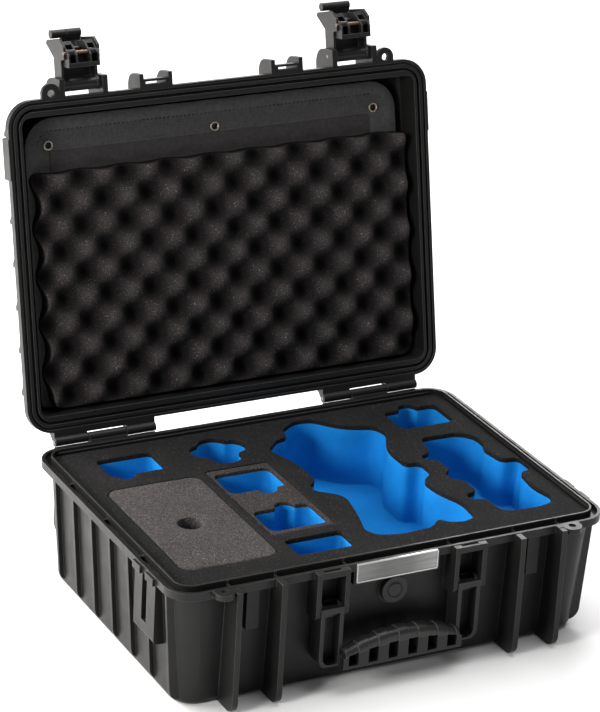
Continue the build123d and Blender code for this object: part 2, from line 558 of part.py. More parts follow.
# ---- everything ---------------------------------------------------------------------------
def main():
    os.makedirs("parts", exist_ok=True)
    save("base_shell", make_base_shell())
    save("name_plate", make_name_plate())
    for name, part in {**make_valve(), **make_foam()}.items():
        save(name, part)
    save("handle_frame", make_handle_frame())
    save("handle_grip", make_handle_grip())
    for side, sign in (("left", -1), ("right", 1)):
        ends = sorted((sign * 57.0, sign * 91.6))
        save(f"handle_pin_{side}", rod(*ends, HANDLE_Y, HANDLE_Z, HANDLE_PIN_R))
        span = sorted((sign * 96.5, sign * 208.5))
        save(f"hinge_pin_{side}", rod(*span, HINGE_Y, HINGE_Z, PIN_R))
        for name, part in make_latch(sign * LATCH_X).items():
            save(f"{name}_{side}", part, turned=True)
    save("lid_shell", make_lid_shell(), turned=True)
    save("lid_gasket", make_lid_gasket(), turned=True)
    for name, part in make_lid_pocket().items():
        save(name, part, turned=True)
    save("egg_crate_foam", make_egg_crate_foam(), turned=True)


main()
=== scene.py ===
import math

import bmesh
import bpy
import numpy as np
from mathutils import Matrix, Vector, noise
from mathutils.geometry import delaunay_2d_cdt


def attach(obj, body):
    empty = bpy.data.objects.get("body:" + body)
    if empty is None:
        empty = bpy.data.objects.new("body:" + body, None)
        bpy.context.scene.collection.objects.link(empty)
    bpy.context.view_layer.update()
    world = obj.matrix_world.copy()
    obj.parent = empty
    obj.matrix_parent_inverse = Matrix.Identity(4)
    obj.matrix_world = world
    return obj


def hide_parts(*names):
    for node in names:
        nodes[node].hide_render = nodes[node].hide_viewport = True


MM = 0.001
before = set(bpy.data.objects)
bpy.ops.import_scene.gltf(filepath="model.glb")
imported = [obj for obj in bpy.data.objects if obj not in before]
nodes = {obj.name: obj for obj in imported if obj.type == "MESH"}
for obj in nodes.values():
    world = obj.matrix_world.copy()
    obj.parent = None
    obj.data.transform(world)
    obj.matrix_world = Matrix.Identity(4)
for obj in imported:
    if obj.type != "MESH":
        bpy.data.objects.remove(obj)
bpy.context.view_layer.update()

# The lid is drawn closed, in millimetres, and turned back about the hinge pins.
HINGE = Vector((0.0, 177.9, 131.7))
LID_OPEN = math.radians(102.3)
CLOSED = Matrix.Identity(4)
OPENED = Matrix.Translation(HINGE) @ Matrix.Rotation(-LID_OPEN, 4, "X") @ Matrix.Translation(-HINGE)


# ---- node materials -----------------------------------------------------------------------
class Shader:
    """A thin helper that adds and links shader nodes for one material."""

    def __init__(self, name):
        self.material = bpy.data.materials.new(name)
        self.material.use_nodes = True
        self.tree = self.material.node_tree
        self.surface = self.tree.nodes["Principled BSDF"]
        self.coords = self.add("ShaderNodeTexCoord").outputs["Object"]

    def add(self, kind, **values):
        node = self.tree.nodes.new(kind)
        for key, value in values.items():
            if key in node.inputs:
                self.feed(node.inputs[key], value)
            else:
                setattr(node, key, value)
        return node

    def feed(self, socket, value):
        if isinstance(value, bpy.types.NodeSocket):
            self.tree.links.new(value, socket)
        else:
            socket.default_value = value

    def noise(self, scale, detail=2.0, stretch=None, rough=0.5):
        vector = self.coords
        if stretch:
            vector = self.add("ShaderNodeMapping", Vector=vector, Scale=stretch).outputs[0]
        node = self.add("ShaderNodeTexNoise", Vector=vector, Scale=scale, Detail=detail, Roughness=rough)
        return node.outputs["Fac"]

    def attribute(self, name):
        return self.add("ShaderNodeAttribute", attribute_name=name).outputs["Fac"]

    def threads(self, direction, pitch_mm):
        """Parallel threads across one direction of the object's frame."""
        node = self.add("ShaderNodeTexWave", Vector=self.coords, Scale=math.pi / (10 * pitch_mm * MM),
                        Distortion=0.6, bands_direction=direction)
        return node.outputs["Fac"]

    def cells(self, scale):
        return self.add("ShaderNodeTexVoronoi", Vector=self.coords, Scale=scale).outputs["Distance"]

    def ramp(self, fac, stops):
        node = self.add("ShaderNodeValToRGB", Fac=fac)
        while len(node.color_ramp.elements) < len(stops):
            node.color_ramp.elements.new(0.5)
        for element, (place, color) in zip(node.color_ramp.elements, stops):
            element.position = place
            element.color = grey(color) if isinstance(color, float) else (*color, 1.0)
        return node.outputs["Color"]

    def math(self, operation, a, b=0.0):
        node = self.add("ShaderNodeMath", operation=operation)
        self.feed(node.inputs[0], a)
        self.feed(node.inputs[1], b)
        return node.outputs[0]

    def mix(self, fac, a, b, blend="MIX"):
        node = self.add("ShaderNodeMix", data_type="RGBA", blend_type=blend)
        self.feed(node.inputs["Factor"], fac)
        self.feed(node.inputs[6], a)
        self.feed(node.inputs[7], b)
        return node.outputs[2]

    def finish(self, color, rough, bumps=(), round_mm=0.0, **extra):
        """Links the colour, roughness and the stack of (height, distance in mm) bumps."""
        normal = None
        if round_mm:
            normal = self.add("ShaderNodeBevel", samples=4, Radius=round_mm * MM).outputs[0]
        for height, depth in bumps:
            bump = self.add("ShaderNodeBump", Height=height, Distance=depth * MM)
            if normal is not None:
                self.feed(bump.inputs["Normal"], normal)
            normal = bump.outputs[0]
        self.feed(self.surface.inputs["Base Color"], color)
        self.feed(self.surface.inputs["Roughness"], rough)
        if normal is not None:
            self.feed(self.surface.inputs["Normal"], normal)
        for key, value in extra.items():
            self.feed(self.surface.inputs[key.replace("_", " ")], value)
        return self.material

    def edges(self, round_mm):
        """0 on flat faces, rising towards sharp edges: the mask for the painted edge highlight."""
        soft = self.add("ShaderNodeBevel", samples=4, Radius=round_mm * MM).outputs[0]
        true = self.add("ShaderNodeNewGeometry").outputs["True Normal"]
        turn = self.add("ShaderNodeVectorMath", operation="DOT_PRODUCT")
        self.feed(turn.inputs[0], soft)
        self.feed(turn.inputs[1], true)
        return self.math("SUBTRACT", 1.0, turn.outputs["Value"])


def grey(value):
    return (value, value, value, 1.0)


def tinted(value, tint):
    return tuple(value * t for t in tint)


WARM = (1.0, 0.99, 0.975)                           # the faint warmth of the black plastic


def moulded(name, dark, rough, grain_mm=0.55, depth=0.035, round_mm=0.7, sheen=0.2):
    """Spark-eroded moulded plastic: fine grain, faint cloudiness and a painted highlight that pales the
    edges.
    """
    s = Shader(name)
    shade = s.ramp(s.noise(9.0, 3.0), [(0.3, tinted(dark * 0.88, WARM)), (0.7, tinted(dark * 1.15, WARM))])
    # painted highlight: sharp edges paled towards a light warm grey, in noisy patches
    edge_highlight = s.math("MULTIPLY", s.edges(round_mm * 1.3), s.math("MULTIPLY", s.noise(160.0, 3.0), 5.0))
    color = s.mix(s.math("MINIMUM", edge_highlight, 1.0), shade, tinted(dark * 11.0, WARM) + (1.0,))
    grain = s.noise(1.0 / (grain_mm * MM), 2.0, rough=0.6)
    gloss = s.ramp(s.noise(55.0, 4.0), [(0.3, rough - 0.05), (0.7, rough + 0.06)])
    return s.finish(color, gloss, [(grain, depth)], round_mm, Specular_IOR_Level=sheen)


def foam(name, base, speck, cell_mm, depth, specks=0.05, rough=0.95, mottle=0.22, painted_shade_attribute=None):
    """Open-cell foam: small dark pores between cell walls, with scattered bright specks, and painted shade
    by depth where a depth attribute is given.
    """
    s = Shader(name)
    pores = s.cells(1.0 / (cell_mm * MM))
    fine = s.noise(1.0 / (cell_mm * 1.7 * MM), 3.0, rough=0.7)
    body = s.ramp(pores, [(0.0, tinted(1.2, base)), (0.75, tinted(0.6, base))])
    clumps = s.noise(1.0 / (cell_mm * 2.2 * MM), 2.0, rough=0.8)
    body = s.mix(1.0, body, s.ramp(clumps, [(0.32, 1.0 - mottle), (0.68, 1.0 + mottle)]), "MULTIPLY")
    body = s.mix(1.0, body, s.ramp(s.noise(28.0, 4.0), [(0.3, 0.86), (0.7, 1.1)]), "MULTIPLY")
    flecks = s.noise(1.0 / (cell_mm * 1.5 * MM), 1.0)
    sparkle = s.ramp(flecks, [(0.72 - specks, 0.0), (0.77 - specks, 1.0)])
    color = s.mix(sparkle, body, (*speck, 1.0))
    # painted shade and light: darkens the colour down into the valleys and lightens it on the peaks, by the
    # stored depth
    if painted_shade_attribute:
        color = s.mix(1.0, color, s.ramp(s.attribute(painted_shade_attribute), CRATE_PAINTED_SHADE), "MULTIPLY")
    return s.finish(color, rough, [(fine, depth), (pores, depth * 0.6)], Specular_IOR_Level=0.12)


def woven(name, base, pitch_mm, depth, across="Z", along="X"):
    """Woven nylon: two crossing sets of threads over a faintly uneven black."""
    s = Shader(name)
    warp, weft = s.threads(across, pitch_mm), s.threads(along, pitch_mm)
    weave = s.math("MAXIMUM", warp, weft)
    shade = s.ramp(weave, [(0.1, tinted(0.55, base)), (0.95, tinted(1.2, base))])
    patch = s.noise(1.0 / (4.2 * MM), 3.0, rough=0.7)
    shade = s.mix(1.0, shade, s.ramp(patch, [(0.3, 0.78), (0.7, 1.2)]), "MULTIPLY")
    return s.finish(shade, 0.85, [(patch, depth * 2), (weave, depth)], Specular_IOR_Level=0.2)


PLATE_MIDDLE = (-3.5, 119.8)                        # x and z of the name plate


def plated(name):
    """The name plate: clear resin over silver foil, its tone palest at both ends and darkest a third of the
    way along, with a paler frame.
    """
    s = Shader(name)
    place = s.add("ShaderNodeSeparateXYZ", Vector=s.coords).outputs
    sweep = s.add("ShaderNodeMapRange", Value=place["X"]).outputs[0]
    s.feed(sweep.node.inputs["From Min"], -0.045)
    s.feed(sweep.node.inputs["From Max"], 0.045)
    foil = s.ramp(sweep, [(0.0, 0.12), (0.3, 0.055), (0.62, 0.075), (0.9, 0.2)])
    edge = 0.0
    for axis, middle, half in (("X", PLATE_MIDDLE[0], 42.6), ("Z", PLATE_MIDDLE[1], 8.6)):
        offset = s.math("ABSOLUTE", s.math("SUBTRACT", place[axis], middle * MM))
        edge = s.math("MAXIMUM", edge, s.math("GREATER_THAN", offset, half * MM))
    foil = s.mix(edge, foil, grey(0.4))
    brushed = s.noise(420.0, 2.0, stretch=(0.05, 1.0, 1.0))
    tone = s.mix(1.0, foil, s.ramp(brushed, [(0.3, 0.8), (0.7, 1.15)]), "MULTIPLY")
    return s.finish(tone, 0.16, [(brushed, 0.01)], 0.4, Metallic=0.35, Coat_Weight=1.0, Coat_Roughness=0.05)


def metal(name, color, rough, grain_mm=0.4):
    s = Shader(name)
    cloud = s.noise(120.0, 3.0)
    tone = s.ramp(cloud, [(0.3, tinted(0.75, color)), (0.7, color)])
    gloss = s.ramp(s.noise(1.0 / (grain_mm * MM), 2.0), [(0.3, rough), (0.7, rough + 0.12)])
    return s.finish(tone, gloss, [(cloud, 0.02)], 0.25, Metallic=1.0)


CRATE_PAINTED_SHADE = [(0.0, 1.35), (0.25, 0.85), (0.55, 0.34), (1.0, 0.08)]    # painted light on the peaks to painted shade in the valleys
SHELL = moulded("case_shell", 0.0082, 0.40, sheen=0.24)
FITTING = moulded("case_fittings", 0.0095, 0.36, 0.4, 0.02, 0.5, 0.3)
RUBBER = moulded("grip_rubber", 0.010, 0.44, 0.35, 0.03, 0.9, 0.45)
SEAL = moulded("seal_rubber", 0.004, 0.6, 0.5, 0.02, 0.2)
VALVE = moulded("valve_plastic", 0.0085, 0.42, 0.35, 0.02, 0.35, 0.35)
BLACKED = metal("black_oxide", (0.035, 0.034, 0.033), 0.42)
STEEL = metal("pin_steel", (0.24, 0.23, 0.22), 0.3)
BRONZE = metal("pin_bronze", (0.22, 0.15, 0.10), 0.4)
EYELET = metal("eyelet_metal", (0.5, 0.42, 0.36), 0.25)
PLATE = plated("name_plate_foil")
BLACK_FOAM = foam("black_foam", (0.0125, 0.0122, 0.0122), (0.06, 0.058, 0.056), 0.8, 0.3, 0.06)
# the crate foam takes painted shade from its depth attribute
CRATE_FOAM = foam("crate_foam", (0.034, 0.031, 0.0302), (0.17, 0.135, 0.122), 0.8, 0.4, 0.055,
                  painted_shade_attribute="depth")
BROWN_FOAM = foam("brown_foam", (0.057, 0.052, 0.0505), (0.19, 0.17, 0.162), 0.85, 0.36, 0.06, mottle=0.5)
# the same brown foam a third darker: painted shade on the battery insert
BROWN_FOAM_PAINTED_SHADE = foam("brown_foam_painted_shade", (0.038, 0.0335, 0.032), (0.15, 0.13, 0.122), 0.85, 0.36, 0.06, mottle=0.5)
BLUE_FOAM = foam("blue_foam", (0.006, 0.235, 0.66), (0.03, 0.3, 0.72), 0.35, 0.06, 0.02, 0.75, 0.06)
FABRIC = woven("pocket_fabric", (0.047, 0.047, 0.047), 0.9, 0.05)
WEBBING = woven("pocket_webbing", (0.041, 0.041, 0.041), 1.5, 0.12)
HEM = woven("pocket_hem", (0.028, 0.026, 0.026), 0.7, 0.04)
THREAD = woven("pocket_thread", (0.004, 0.004, 0.004), 0.5, 0.04)

CAD_LOOKS = {
    "base_shell": SHELL, "lid_shell": SHELL, "handle_frame": FITTING, "handle_grip": RUBBER,
    "lid_gasket": SEAL, "valve_seal": SEAL, "valve_housing": VALVE, "valve_cap": VALVE,
    "panel_screws": BLACKED, "valve_membrane": SEAL, "name_plate": PLATE,
    "foam_skin": BLACK_FOAM, "foam_core": BLUE_FOAM, "foam_bay_cover": BROWN_FOAM,
    "battery_insert": BROWN_FOAM_PAINTED_SHADE, "egg_crate_foam": CRATE_FOAM, "pocket_panel": FABRIC,
    "pocket_front": HEM,
}
for side in ("left", "right"):
    CAD_LOOKS[f"latch_lever_{side}"] = FITTING
    CAD_LOOKS[f"latch_hook_{side}"] = FITTING
    CAD_LOOKS[f"hook_pin_{side}"] = BRONZE
    CAD_LOOKS[f"latch_pivot_pin_{side}"] = STEEL
    CAD_LOOKS[f"hinge_pin_{side}"] = STEEL
    CAD_LOOKS[f"handle_pin_{side}"] = BLACKED
for place in ("left", "centre", "right"):
    CAD_LOOKS[f"eyelet_{place}"] = EYELET
for name, material in CAD_LOOKS.items():
    nodes[name].data.materials.clear()
    nodes[name].data.materials.append(material)


# ---- mesh helpers ---------------------------------------------------------------------------
def add_piece(name, points, faces, material, body, place=CLOSED, sharp=40.0):
    """A new piece from millimetre points, smooth but for edges sharper than the angle."""
    data = bpy.data.meshes.new(name)
    data.from_pydata([(place @ Vector(p)) * MM for p in points], [], faces)
    data.validate()
    solid = bmesh.new()
    solid.from_mesh(data)
    bmesh.ops.remove_doubles(solid, verts=solid.verts, dist=1e-6)
    bmesh.ops.recalc_face_normals(solid, faces=solid.faces)
    solid.to_mesh(data)
    solid.free()
    data.shade_smooth()
    data.set_sharp_from_angle(angle=math.radians(sharp))
    data.materials.append(material)
    piece = bpy.data.objects.new(name, data)
    bpy.context.collection.objects.link(piece)
    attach(piece, body)
    return piece


def resample(loop, step):
    """A closed outline with its points spread evenly, about a step apart."""
    loop = np.asarray(loop, float)
    closed = np.vstack([loop, loop[:1]])
    along = np.concatenate([[0.0], np.cumsum(np.linalg.norm(np.diff(closed, axis=0), axis=1))])
    count = max(12, int(round(along[-1] / step)))
    places = np.linspace(0.0, along[-1], count, endpoint=False)
    return np.stack([np.interp(places, along, closed[:, k]) for k in (0, 1)], 1)


def counter_clockwise(loop):
    x, y = loop[:, 0], loop[:, 1]
    area = np.sum(x * np.roll(y, -1) - y * np.roll(x, -1))
    return loop if area > 0 else loop[::-1]


def grown(loop, by):
    """An outline moved outwards by a small distance."""
    ahead = np.roll(loop, -1, axis=0) - np.roll(loop, 1, axis=0)
    ahead /= np.linalg.norm(ahead, axis=1)[:, None]
    return loop + by * np.stack([ahead[:, 1], -ahead[:, 0]], 1)


def rounded_box(x0, x1, y0, y1, radius, step=2.5):
    """A rectangle with round corners; radius is one number or one for each corner."""
    radii = radius if isinstance(radius, tuple) else (radius,) * 4
    corners = [(x1, y0, -90), (x1, y1, 0), (x0, y1, 90), (x0, y0, 180)]
    points = []
    for (x, y, start), r in zip(corners, radii):
        cx = x - r if x == x1 else x + r
        cy = y - r if y == y1 else y + r
        for k in range(9):
            a = math.radians(start + 90 * k / 8)
            points.append((cx + r * math.cos(a), cy + r * math.sin(a)))
    return resample(points, step)


def smooth_outline(points, step=2.5):
    """A free-form outline with the corners rounded the way the pockets are cut."""
    spots = [Vector(p) for p in points]
    curve = []
    for i, spot in enumerate(spots):
        before = spots[i - 1] - spot
        after = spots[(i + 1) % len(spots)] - spot
        reach = 0.42 * min(before.length, after.length)
        a = spot + before.normalized() * reach
        b = spot + after.normalized() * reach
        for k in range(8):
            t = k / 7
            curve.append(a * (1 - t) ** 2 + spot * 2 * t * (1 - t) + b * t ** 2)
    return counter_clockwise(resample([tuple(p) for p in curve], step))


def circle(x, y, radius, step=2.0):
    count = max(24, int(2 * math.pi * radius / step))
    turns = [2 * math.pi * k / count for k in range(count)]
    return np.array([(x + radius * math.cos(a), y + radius * math.sin(a)) for a in turns])


RAYS = 360                                          # directions that a union is sampled in
BATCH = 4000                                        # points handled at once, to bound memory


def star_union(centre, loops, step=2.0):
    """The outline round several overlapping outlines that all can be seen from one centre."""
    centre = np.array(centre)
    count = RAYS
    reach = np.zeros(count)
    for k in range(count):
        a = 2 * math.pi * k / count
        ray = np.array([math.cos(a), math.sin(a)])
        for loop in loops:
            p, q = loop - centre, np.roll(loop, -1, axis=0) - centre
            edge = q - p
            cross = ray[0] * edge[:, 1] - ray[1] * edge[:, 0]
            cross[np.abs(cross) < 1e-9] = 1e-9
            t = (p[:, 0] * edge[:, 1] - p[:, 1] * edge[:, 0]) / cross
            s = (p[:, 0] * ray[1] - p[:, 1] * ray[0]) / cross
            hits = t[(s >= 0) & (s < 1) & (t > 0)]
            if len(hits):
                reach[k] = max(reach[k], hits.max())
    for _ in range(2):
        reach = (np.roll(reach, 1) + 2 * reach + np.roll(reach, -1)) / 4
    turns = 2 * math.pi * np.arange(count) / count
    points = centre + reach[:, None] * np.stack([np.cos(turns), np.sin(turns)], 1)
    return resample(points, step)


def inside(points, loops):
    """Which points lie inside the first outline and outside the rest."""
    hit = np.zeros(len(points), bool)
    for loop in loops:
        x0, y0 = loop[:, 0], loop[:, 1]
        x1, y1 = np.roll(x0, -1), np.roll(y0, -1)
        for start in range(0, len(points), BATCH):
            px = points[start:start + BATCH, 0][:, None]
            py = points[start:start + BATCH, 1][:, None]
            spans = (y0 > py) != (y1 > py)
            cut = x0 + (py - y0) * (x1 - x0) / np.where(y1 == y0, 1e-9, y1 - y0)
            hit[start:start + BATCH] ^= (np.sum(spans & (px < cut), axis=1) % 2) == 1
    return hit


def fill(loops, step):
    """Triangles over the first outline less the others: the outlines' points, then loose ones."""
    edge_points = np.vstack(loops)
    low, high = loops[0].min(axis=0), loops[0].max(axis=0)
    xs = np.arange(low[0] + step / 2, high[0], step)
    ys = np.arange(low[1] + step / 2, high[1], step)
    grid = np.stack(np.meshgrid(xs, ys), -1).reshape(-1, 2)
    grid = grid[inside(grid, loops)]
    clear = np.ones(len(grid), bool)
    for start in range(0, len(grid), BATCH):
        part = grid[start:start + BATCH]
        gap = np.linalg.norm(part[:, None, :] - edge_points[None, :, :], axis=2).min(axis=1)
        clear[start:start + BATCH] = gap > 0.55 * step
    points = np.vstack([edge_points, grid[clear]])
    edges, start = [], 0
    for loop in loops:
        edges += [(start + k, start + (k + 1) % len(loop)) for k in range(len(loop))]
        start += len(loop)
    spots = [Vector((float(x), float(y))) for x, y in points]
    result = delaunay_2d_cdt(spots, edges, [], 0, 1e-5)
    placed = np.array([tuple(v) for v in result[0]])
    source = [min(s) if len(s) else -1 for s in result[3]]
    faces = np.array([[source[i] for i in f] for f in result[2]])
    faces = faces[(faces >= 0).all(axis=1)]
    middle = points[faces].mean(axis=1)
    faces = faces[inside(middle, loops)]
    return points, [tuple(int(i) for i in f) for f in faces]


def ring_faces(start_a, start_b, count):
    """Quads between two rings of points."""
    return [(start_a + k, start_a + (k + 1) % count, start_b + (k + 1) % count, start_b + k)
            for k in range(count)]


class Foam:
    """Collects the skins of one cut foam block: faces, cut walls and pocket floors."""

    def __init__(self, sway):
        self.points, self.faces, self.sway = [], [], sway

    def face(self, loops, level, step, sway=True):
        flat, tris = fill(loops, step)
        start = len(self.points)
        for x, y in flat:
            rise = self.sway * noise.noise(Vector((x, y, level)) * 0.028) if sway else 0.0
            self.points.append((x, y, level + rise))
        self.faces += [tuple(start + i for i in f) for f in tris]

    def wall(self, loop, top, bottom, side, round_mm, foot=0.0, lean=0.0):
        """The wall under an outline; side is 1 for an outer wall and -1 for a pocket's.

        lean is how far the wall has come in by the time it reaches the bottom."""
        levels = [(round_mm * (1 - math.sin(a)), top - round_mm * (1 - math.cos(a)))
                  for a in np.radians((0, 30, 60, 90))]
        steps = max(2, int((top - bottom) / 9))
        levels += [(0.0, top - round_mm + (bottom + foot - top + round_mm) * k / steps)
                   for k in range(1, steps + 1)]
        if foot:
            levels += [(foot * (1 - math.cos(a)), bottom + foot * (1 - math.sin(a)))
                       for a in np.radians((30, 60, 90))]
        rings = []
        for inset, level in levels:
            slope = lean * (top - level) / (top - bottom)
            ring = grown(loop, (-side * inset if level > top - round_mm - 1e-6 else -inset) - slope)
            start = len(self.points)
            for (x, y), (nx, ny) in zip(ring, grown(ring, 1.0) - ring):
                fade = min(1.0, max(0.0, (top - level) / 6.0)) * (level > bottom + 1e-6)
                push = self.sway * fade * noise.noise(Vector((x, y, level * 0.6)) * 0.09)
                settle = 1 - min(1.0, (top - level) / 3)
                rise = self.sway * noise.noise(Vector((x, y, top)) * 0.028) * settle
                self.points.append((x + nx * push, y + ny * push, level + rise))
            rings.append(start)
        for a, b in zip(rings, rings[1:]):
            self.faces += ring_faces(a, b, len(loop))
        return grown(loop, -foot - lean) if foot or lean else loop


def rim_outline(loop, round_mm, side):
    """Where a rounded top edge starts: inside an outer outline, outside a pocket's."""
    return grown(loop, -side * round_mm)


def cut_foam(name, outer, pockets, top, bottom, material, step=5.0, sway=0.35, round_mm=0.8,
             lean=0.0):
    """A foam block; each pocket is (outline, floor level or None if it goes right through)."""
    block = Foam(sway)
    rims = [rim_outline(outer, round_mm, 1)] + [rim_outline(loop, round_mm, -1) for loop, _ in pockets]
    block.face(rims, top, step)
    foot_line = block.wall(outer, top, bottom, 1, round_mm, lean=lean)
    through = []
    for loop, floor in pockets:
        if floor is None:
            block.wall(loop, top, bottom, -1, round_mm)
            through.append(loop)
        else:
            foot = block.wall(loop, top, floor, -1, round_mm, foot=2.0)
            block.face([foot], floor, step, sway=False)
    block.face([foot_line] + through, bottom, step * 2, sway=False)
    piece = add_piece(name, block.points, block.faces, material, "base")
    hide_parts(name.replace("_cut", ""))
    return piece


# ---- foam inlay -----------------------------------------------------------------------------
DRONE_POCKET = [(-10, 91), (10, 111), (22, 113), (26, 131), (47, 146), (66, 144), (89, 116), (119, 105),
                (124, 88), (105, 52), (105, 13), (121, 11), (121, -14), (103, -27), (105, -55), (116, -84),
                (112, -116), (98, -123), (82, -119), (74, -109), (60, -122), (24, -124), (2, -117),
                (-4, -104), (5, -74), (14, -30), (-9, -10), (-9, 2), (3, 12), (3, 46), (-4, 74)]
CONTROLLER_POCKET = [(147, 53), (152, 61), (192, 60), (205, 47), (205, 28), (199, 16), (203, -13),
                     (221, -15), (221, -44), (205, -45), (200, -78), (206, -104), (198, -117), (180, -121),
                     (142, -118), (141, -86), (126, -83), (127, -71), (141, -69), (141, -42), (132, -36),
                     (132, -21), (141, -15), (141, 10), (129, 13), (129, 24), (141, 27), (145, 38)]
FOAM_TOP, SKIN_BASE, CORE_BASE = 128.0, 123.05, 4.3
BATTERY_FLOOR, SHALLOW_FLOOR, BAY_FLOOR = 70.0, 88.0, 106.0
COVER = (-204.0, -102.0, -120.0, 63.5)
INSERT = (-93.0, -23.0, -81.0, 68.0)


def battery_outline(x0, y0, notch_x, back):
    """A battery pocket with a finger scallop on one long side."""
    y = y0 + 45 if back else y0
    return star_union((x0 + 31, y0 + 22.5), [rounded_box(x0, x0 + 62, y0, y0 + 45, 8.0),
                                             circle(notch_x, y, 10.5)])


def make_inlay():
    """Black skin over a blue core, with the brown bay cover and the brown battery insert."""
    drone, controller = smooth_outline(DRONE_POCKET), smooth_outline(CONTROLLER_POCKET)
    right = battery_outline(143, 86, 174, True)
    charger = star_union((-154, 110), [rounded_box(-184, -124, 90, 130, 5), circle(-168, 90, 9)])
    adapter = rounded_box(-88, -27, -129, -96, 5)
    lobes = [circle(-57, 121, 17), circle(-41, 113, 15), circle(-72, 112, 15), circle(-57, 95, 17)]
    propellers = star_union((-57, 110), lobes)
    shared = [(drone, 60.0), (controller, 73.0), (right, BATTERY_FLOOR), (charger, 83.0),
              (adapter, SHALLOW_FLOOR), (propellers, SHALLOW_FLOOR)]
    batteries = [battery_outline(-89, 14, -50, False), battery_outline(-89, -74, -52, True)]
    bay, insert = rounded_box(*COVER, 13), rounded_box(*INSERT, 3)
    skin_outer = rounded_box(-222.2, 222.2, -153.8, 153.8, 8.5, 3.5)
    core_outer = rounded_box(-220.3, 220.3, -149.8, 149.8, 8.5, 4.0)
    skin_holes = [(loop, None) for loop, _ in shared] + [(bay, None), (insert, None)]
    cut_foam("foam_skin_cut", skin_outer, skin_holes, FOAM_TOP, SKIN_BASE, BLACK_FOAM)
    core_holes = shared + [(loop, BATTERY_FLOOR) for loop in batteries] + [(bay, BAY_FLOOR)]
    cut_foam("foam_core_cut", core_outer, core_holes, SKIN_BASE - 0.1, CORE_BASE, BLUE_FOAM,
             step=8.0, sway=0.2, round_mm=0.3, lean=6.6)
    cover = rounded_box(COVER[0] + 0.6, COVER[1] - 0.6, COVER[2] + 0.6, COVER[3] - 0.6, 12.4)
    cut_foam("foam_bay_cover_cut", cover, [(circle(-154.5, -29.5, 12.5, 1.5), None)], FOAM_TOP - 0.2,
             BAY_FLOOR + 0.2, BROWN_FOAM, step=4.0, round_mm=1.2)
    edge = rounded_box(INSERT[0] + 0.4, INSERT[1] - 0.4, INSERT[2] + 0.4, INSERT[3] - 0.4, 2.6)
    cut_foam("battery_insert_cut", edge, [(loop, None) for loop in batteries], 127.2, SKIN_BASE,
             BROWN_FOAM_PAINTED_SHADE, step=4.0)


# ---- egg-crate foam -------------------------------------------------------------------------
CRATE_BACK, CRATE_PEAK, CRATE_DEPTH = 154.1, 134.4, 17.2     # closed-lid heights; valleys are high
PITCH_X, PITCH_Y = 48.3, 49.0
VALLEY = (62.0, -60.5)


def crate_depth(x, y):
    """How deep the egg-crate surface lies: 0 at a peak, 1 at the bottom of a valley."""
    wander = 2.2 * noise.noise(Vector((x, y, 7.0)) * 0.011)
    u = 2 * math.pi * (x - VALLEY[0] + wander) / PITCH_X
    v = 2 * math.pi * (y - VALLEY[1] + wander) / PITCH_Y
    return (0.5 + 0.5 * math.cos(u) * math.cos(v)) ** 1.15


def crate_height(x, y):
    rough = 0.5 * noise.noise(Vector((x, y, 3.0)) * 0.09)
    return CRATE_PEAK + CRATE_DEPTH * crate_depth(x, y) + rough


def crate_outline():
    """The cut edge bulges where a valley reaches it and draws in at a peak."""
    loop = rounded_box(-204.5, 213.5, -91.5, 147.5, (6.0, 14.0, 14.0, 6.0), 2.5)
    sway = np.array([crate_depth(x, y) - 0.42 for x, y in loop])
    normal = grown(loop, 1.0) - loop
    reach = 2.0 + 3.4 * np.abs(normal[:, 0])
    return loop + normal * (sway * reach)[:, None]


def make_egg_crate():
    outline = crate_outline()
    points, faces = [], []
    front, tris = fill([grown(outline, -1.6)], 2.4)
    points += [(x, y, crate_height(x, y)) for x, y in front]
    faces += tris
    count = len(outline)
    rings = [0]
    for inset, drop in ((0.9, 0.25), (0.3, 0.8), (0.0, 1.6)):
        rings.append(len(points))
        points += [(x, y, crate_height(x, y) + drop) for x, y in grown(outline, -inset)]
    for k in range(1, 4):
        rings.append(len(points))
        t = k / 3
        for x, y in grown(outline, -0.8 * math.sin(math.pi * t)):
            low = crate_height(x, y) + 1.6
            points.append((x, y, low + (CRATE_BACK - low) * t))
    for a, b in zip(rings, rings[1:]):
        faces += ring_faces(a, b, count)
    back = len(points)
    flat, tris = fill([outline], 12.0)
    points += [(x, y, CRATE_BACK) for x, y in flat]
    faces += [tuple(back + i for i in f) for f in tris]
    piece = add_piece("egg_crate", points, faces, CRATE_FOAM, "lid", OPENED, 75.0)
    # depth from peak to valley, which the crate foam uses for its painted shade
    shade = piece.data.attributes.new("depth", "FLOAT", "POINT")
    closed = OPENED.inverted()
    for vertex, value in zip(piece.data.vertices, shade.data):
        z = (closed @ (vertex.co / MM)).z
        value.value = min(1.0, max(0.0, (z - CRATE_PEAK) / CRATE_DEPTH))
    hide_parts("egg_crate_foam")


# ---- lid pocket -----------------------------------------------------------------------------
PANEL = (-209.0, 210.0, -145.5, 147.0)              # fabric back sheet: x0, x1, y0, y1
PANEL_FACE, PANEL_REAR = 155.5, 157.4               # closed-lid heights of its two faces
BORDER = 12.0                                       # width of the bound border
BAND = (-190.0, 190.0, -134.0, -113.6)              # ribbed webbing strip
FLAP = (-183.5, 178.0, -112.0, 144.0)               # pocket front
EYELET_SPOTS = ((-184.0, -118.0), (0.0, -118.0), (184.0, -118.0))


def distances(points, loop):
    """How far each point lies from an outline."""
    result = np.empty(len(points))
    for start in range(0, len(points), 2000):
        part = points[start:start + 2000]
        result[start:start + 2000] = np.linalg.norm(part[:, None] - loop[None], axis=2).min(axis=1)
    return result


